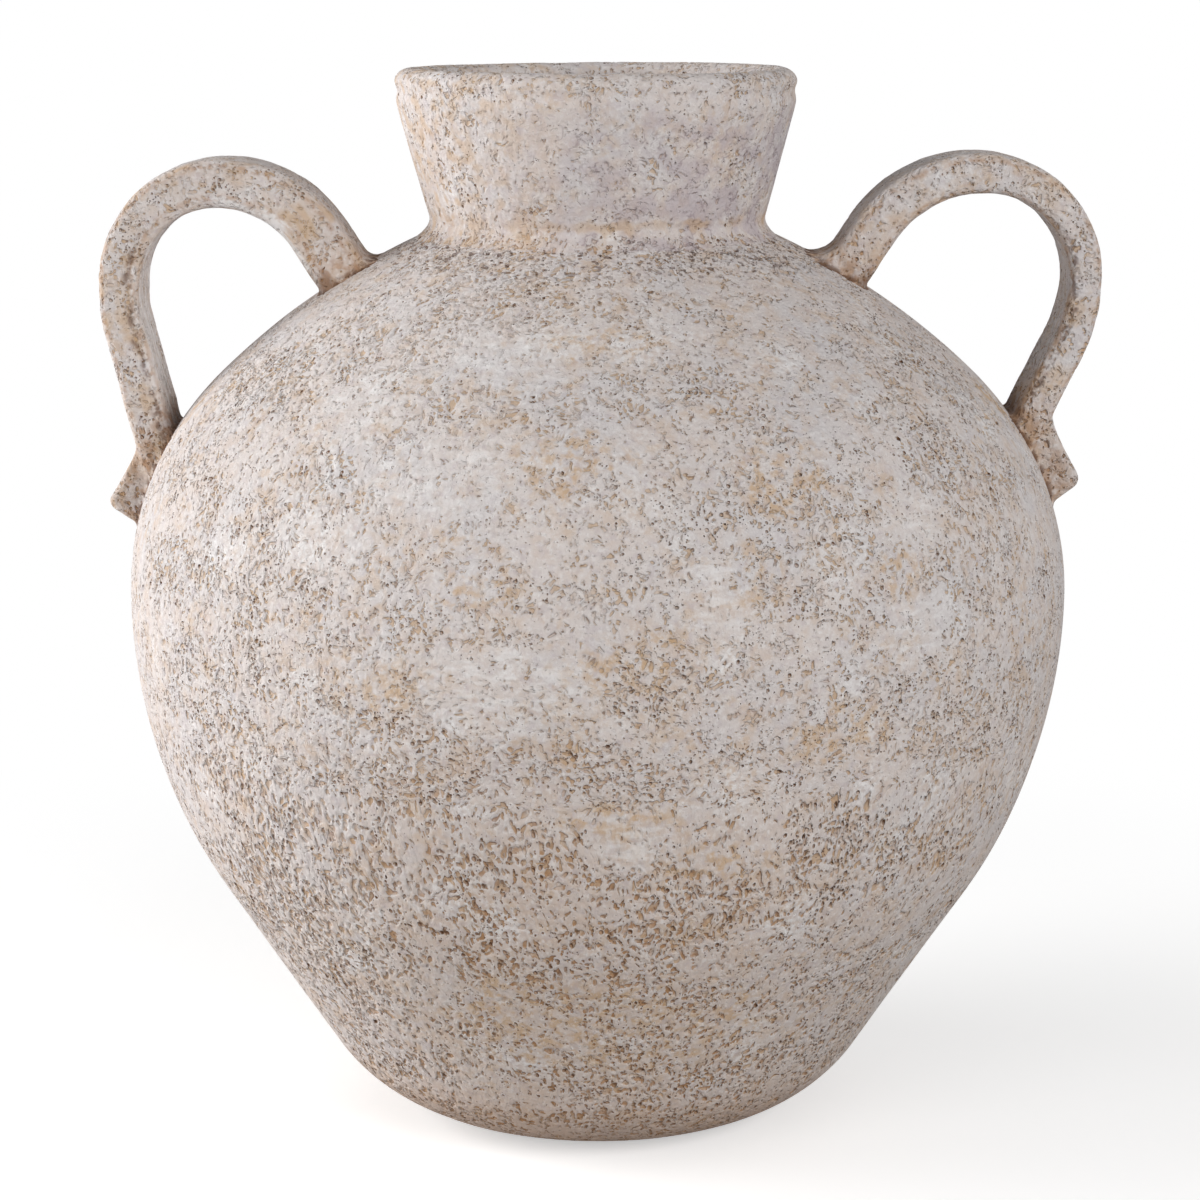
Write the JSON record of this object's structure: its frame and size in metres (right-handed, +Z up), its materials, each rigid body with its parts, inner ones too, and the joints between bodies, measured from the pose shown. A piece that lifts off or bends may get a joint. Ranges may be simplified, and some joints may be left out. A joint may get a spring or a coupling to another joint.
{
  "type": "two-handled terracotta jar",
  "caption": "Round-bellied terracotta storage jar with a short flared neck, rolled rim and arched strap handles, in a pitted pale lime finish.",
  "frame": {"origin": "centre of the flat foot, on the surface that the jar stands on", "axes": "+Z up along the axis of the neck; the handles lie along X; the picture looks along +Y"},
  "size_m": [0.33, 0.313, 0.35],
  "materials": {
    "limed_clay": "matt pitted lime slip over tan clay",
    "wiped_clay": "matt wiped lime slip over tan clay",
    "strap_clay": "matt rubbed lime slip showing ochre clay",
    "bare_clay": "matt bare tan clay"
  },
  "bodies": {
    "root": {"floor_slab": "bare_clay", "lower_wall": "limed_clay", "shoulder_wall": "limed_clay", "neck_collar": "wiped_clay", "neck_root_coil": "wiped_clay", "rim_coil": "wiped_clay", "left_handle": "strap_clay", "left_root_wad": "strap_clay", "left_tail": "strap_clay", "right_handle": "strap_clay", "right_root_wad": "strap_clay", "right_tail": "strap_clay"}
  },
  "joints": []
}
